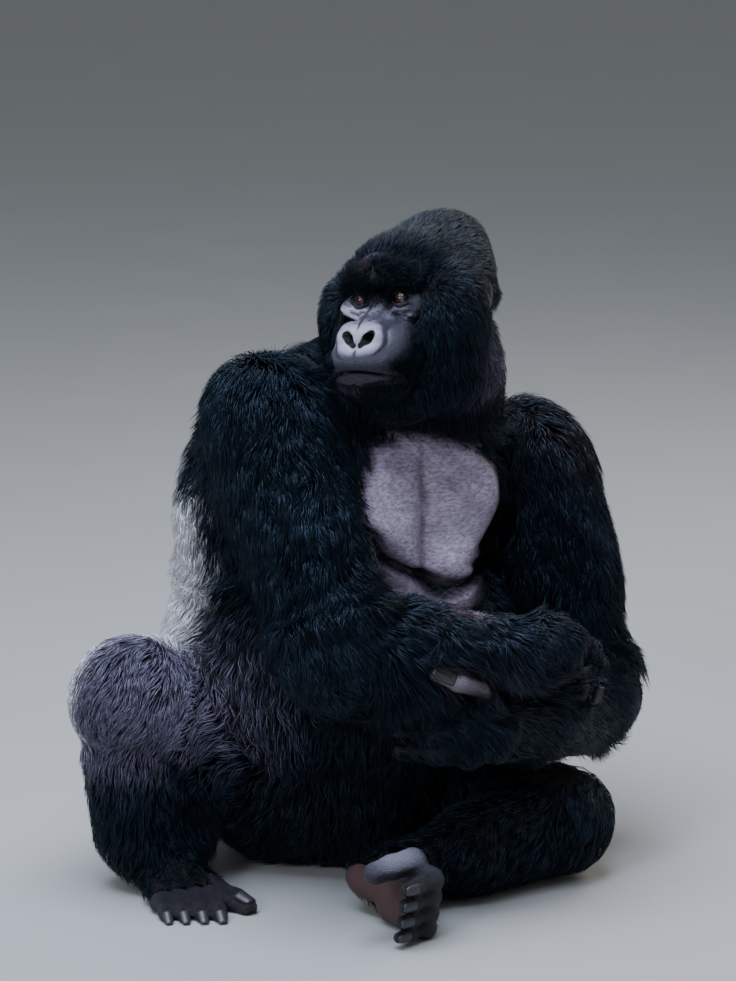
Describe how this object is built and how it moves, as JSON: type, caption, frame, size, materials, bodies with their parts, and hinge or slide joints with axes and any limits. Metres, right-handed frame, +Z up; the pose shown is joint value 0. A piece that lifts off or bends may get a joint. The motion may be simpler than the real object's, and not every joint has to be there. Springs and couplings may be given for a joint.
{
  "type": "sitting silverback gorilla model",
  "caption": "Life-size silverback mountain gorilla sitting on the floor with crossed arms, one knee raised and one leg folded, head turned to its right; a still museum model.",
  "frame": {"origin": "middle of the flat under the pelvis, on the floor", "axes": "+Z up; -Y is the side that the knees and crossed arms face; the animal's right side is towards -X and its left towards +X"},
  "size_m": [0.9659, 0.8111, 1.1293],
  "materials": {
    "coat": "long black hair with a grey saddle, matt with a blue sheen",
    "face_skin": "bare wrinkled grey-black skin with a soft gloss",
    "hand_and_foot_skin": "bare creased skin, brown-grey",
    "eyes": "wet gloss, red-brown iris"
  },
  "bodies": {
    "root": {"head": "coat", "neck": "coat", "chest": "coat", "belly": "coat", "upper_arm_left": "coat", "upper_arm_right": "coat", "forearm_left": "coat", "forearm_right": "coat", "thigh_left": "coat", "thigh_right": "coat", "shank_left": "coat", "shank_right": "coat", "face": "face_skin", "ear_left": "face_skin", "ear_right": "face_skin", "hand_left": "hand_and_foot_skin", "hand_right": "hand_and_foot_skin", "foot_left": "hand_and_foot_skin", "foot_right": "hand_and_foot_skin", "eye_left": "eyes", "eye_right": "eyes"}
  },
  "joints": []
}
